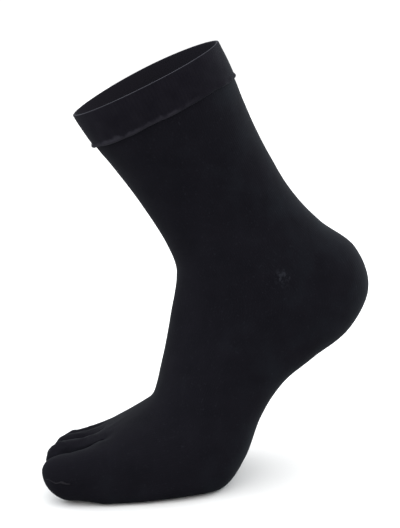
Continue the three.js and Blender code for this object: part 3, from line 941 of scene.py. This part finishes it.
class ToeSockColours(bpy.types.PropertyGroup):
    """Colours of the cloth and the floor."""

    knit_dark: bpy.props.FloatVectorProperty(
        name="Knit, deep", description="The jersey between its stitches", default=linear("0a0a0e"), **COLOUR
    )
    knit_light: bpy.props.FloatVectorProperty(
        name="Knit, face", description="The jersey's face", default=linear("131217"), **COLOUR
    )
    # The tint of the sheen painted on the knit.
    knit_painted_sheen: bpy.props.FloatVectorProperty(
        name="Knit, cool", description="The jersey where it has worn cooler", default=linear("121519"), **COLOUR
    )
    pills: bpy.props.FloatVectorProperty(
        name="Pills", description="Small pills of fuzz and pulled yarn", default=linear("303238"), **COLOUR
    )
    welt_dark: bpy.props.FloatVectorProperty(
        name="Welt, deep", description="The welt between its ribs", default=linear("0c0b10"), **COLOUR
    )
    welt_light: bpy.props.FloatVectorProperty(
        name="Welt, face", description="The welt's ribs", default=linear("16151a"), **COLOUR
    )
    # The colour of the highlight painted along the welt's fold.
    fold: bpy.props.FloatVectorProperty(
        name="Fold", description="The stretched yarn on the welt's fold", default=linear("3c3c42"), **COLOUR
    )
    welt_inside: bpy.props.FloatVectorProperty(
        name="Welt, inside", description="The welt's inner face", default=linear("1a191e"), **COLOUR
    )
    # The colour of the highlight painted along the hem's roll.
    hem: bpy.props.FloatVectorProperty(
        name="Hem", description="The rubbed roll of the hem", default=linear("1e1d22"), **COLOUR
    )
    # The seam thread's colour, paler than the knit's as a painted highlight of the ridge.
    seam: bpy.props.FloatVectorProperty(
        name="Seam", description="The thread of the closing seams", default=linear("1b1a1e"), **COLOUR
    )
    floor: bpy.props.FloatVectorProperty(
        name="Floor", description="The studio paper", default=linear("c6c6c6"), **COLOUR
    )


# ---------------------------------------------------------------- the pieces and the stage
def add_piece(name, mesh, material):
    """Adds a piece with its mesh and material, alone selected, at the origin."""
    bpy.ops.object.select_all(action="DESELECT")
    piece = bpy.data.objects.new(name, mesh)
    bpy.context.collection.objects.link(piece)
    bpy.context.view_layer.objects.active = piece
    piece.select_set(True)
    mesh.materials.append(material)
    return piece


class TOESOCK_OT_knit(bpy.types.Operator):
    """Knits the leg, heel, foot and five toe pockets as one thin wall"""

    bl_idname = "toe_sock.knit"
    bl_label = "Knit the foot"

    def execute(self, context):
        sizes, colours = context.scene.toe_sock_sizes, context.scene.toe_sock_colours
        tones = [(*tone, 1) for tone in (colours.knit_dark, colours.knit_light, colours.knit_painted_sheen, colours.pills)]
        gore = [abs(c) for c in to_part(tube_point(section_at(GORE[0]), False, math.radians(GORE[1])))]
        jersey = combed_cotton_jersey("combed cotton jersey", tones, sizes.knit_relief, gore)
        piece = add_piece("knit_foot", knit_mesh(sizes.unevenness), jersey)
        wall = piece.modifiers.new("wall", "SOLIDIFY")
        wall.thickness = sizes.knit_wall
        wall.offset = -1
        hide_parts("leg", "heel", "foot", "toe_big", "toe_second", "toe_third", "toe_fourth", "toe_little")
        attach(piece, "root")
        return {"FINISHED"}


class TOESOCK_OT_welt(bpy.types.Operator):
    """Folds the doubled elastic welt round the mouth"""

    bl_idname = "toe_sock.welt"
    bl_label = "Fold the welt"

    def execute(self, context):
        sizes, colours = context.scene.toe_sock_sizes, context.scene.toe_sock_colours
        tones = colours.welt_dark, colours.welt_light, colours.fold, colours.welt_inside, colours.hem
        rib = elastic_welt_rib("elastic welt rib", [(*tone, 1) for tone in tones], sizes.knit_relief)
        piece = add_piece("welt", welt_mesh(sizes.unevenness), rib)
        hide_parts("cuff")
        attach(piece, "root")
        return {"FINISHED"}


class TOESOCK_OT_seams(bpy.types.Operator):
    """Closes the five toes with their seams"""

    bl_idname = "toe_sock.seams"
    bl_label = "Close the toes"

    def execute(self, context):
        sizes, colours = context.scene.toe_sock_sizes, context.scene.toe_sock_colours
        piece = lay_seams(sizes.seam_radius)
        piece.data.materials.append(linked_seam_thread("nylon seam thread", tuple(colours.seam)))
        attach(piece, "root")
        return {"FINISHED"}


# The view's centre, the camera and the two softboxes (place, diameter in metres, watts), in millimetres from the floor.
VIEW_CENTRE = Vector((0, 0, 140))
CAMERA_PLACE = Vector((-153.07, -720.13, 283.1))
SOFTBOXES = {
    "rear side softbox": (Vector((900, 380, 200)), 0.7, 11),
    "toe softbox": (Vector((-900, 100, 700)), 0.6, 6),
}
# How bright the tent is at eye height and overhead.
TENT_LEVEL = 1.06
TENT_OVERHEAD = 3.1


def aim(thing, place):
    """Turns a light or the camera at that place to the view's centre."""
    thing.rotation_euler = (VIEW_CENTRE - place).to_track_quat("-Z", "Y").to_euler()


class TOESOCK_OT_stage(bpy.types.Operator):
    """Sets up the white floor, the soft lights and the camera"""

    bl_idname = "toe_sock.stage"
    bl_label = "Set the stage"

    def execute(self, context):
        scene = context.scene
        floor_level = -ORIGIN.z * MM
        bpy.ops.object.select_all(action="DESELECT")
        bpy.ops.mesh.primitive_plane_add(size=12, location=(0, 0, floor_level))
        floor = context.active_object
        floor.name = "studio_floor"
        bpy.ops.object.transform_apply(location=True)
        floor.data.materials.append(studio_paper("studio paper", tuple(scene.toe_sock_colours.floor)))
        for name, (place, size, power) in SOFTBOXES.items():
            bpy.ops.object.light_add(type="AREA", location=to_part(place))
            light = context.active_object
            light.name = name
            light.data.shape = "DISK"
            light.data.size = size
            light.data.energy = power
            light.data.color = linear("f0faff")
            aim(light, place)
        scene.world = white_tent("white tent", TENT_LEVEL, TENT_OVERHEAD)
        bpy.ops.object.camera_add(location=to_part(CAMERA_PLACE))
        camera = context.active_object
        camera.name = "camera"
        aim(camera, CAMERA_PLACE)
        camera.data.lens = 80
        camera.data.sensor_width = 36
        camera.data.clip_start = 0.01
        camera.data.clip_end = 50
        scene.camera = camera
        scene.view_settings.view_transform = "Standard"
        return {"FINISHED"}


class TOESOCK_PT_sock(bpy.types.Panel):
    """Lists the steps that build the sock"""

    bl_idname = "TOESOCK_PT_sock"
    bl_label = "Toe Sock"
    bl_space_type = "VIEW_3D"
    bl_region_type = "UI"
    bl_category = "Toe Sock"

    def draw(self, context):
        for step in STEPS:
            self.layout.operator(step.bl_idname)
        for group in (context.scene.toe_sock_sizes, context.scene.toe_sock_colours):
            for name in group.__annotations__:
                self.layout.prop(group, name)


STEPS = (TOESOCK_OT_knit, TOESOCK_OT_welt, TOESOCK_OT_seams, TOESOCK_OT_stage)
CLASSES = (ToeSockSizes, ToeSockColours, *STEPS, TOESOCK_PT_sock)


def register():
    for cls in CLASSES:
        bpy.utils.register_class(cls)
    bpy.types.Scene.toe_sock_sizes = bpy.props.PointerProperty(type=ToeSockSizes)
    bpy.types.Scene.toe_sock_colours = bpy.props.PointerProperty(type=ToeSockColours)


def unregister():
    del bpy.types.Scene.toe_sock_colours
    del bpy.types.Scene.toe_sock_sizes
    for cls in reversed(CLASSES):
        bpy.utils.unregister_class(cls)


def main():
    register()
    bpy.ops.toe_sock.knit()
    bpy.ops.toe_sock.welt()
    bpy.ops.toe_sock.seams()
    bpy.ops.toe_sock.stage()


if __name__ == "__main__":
    main()
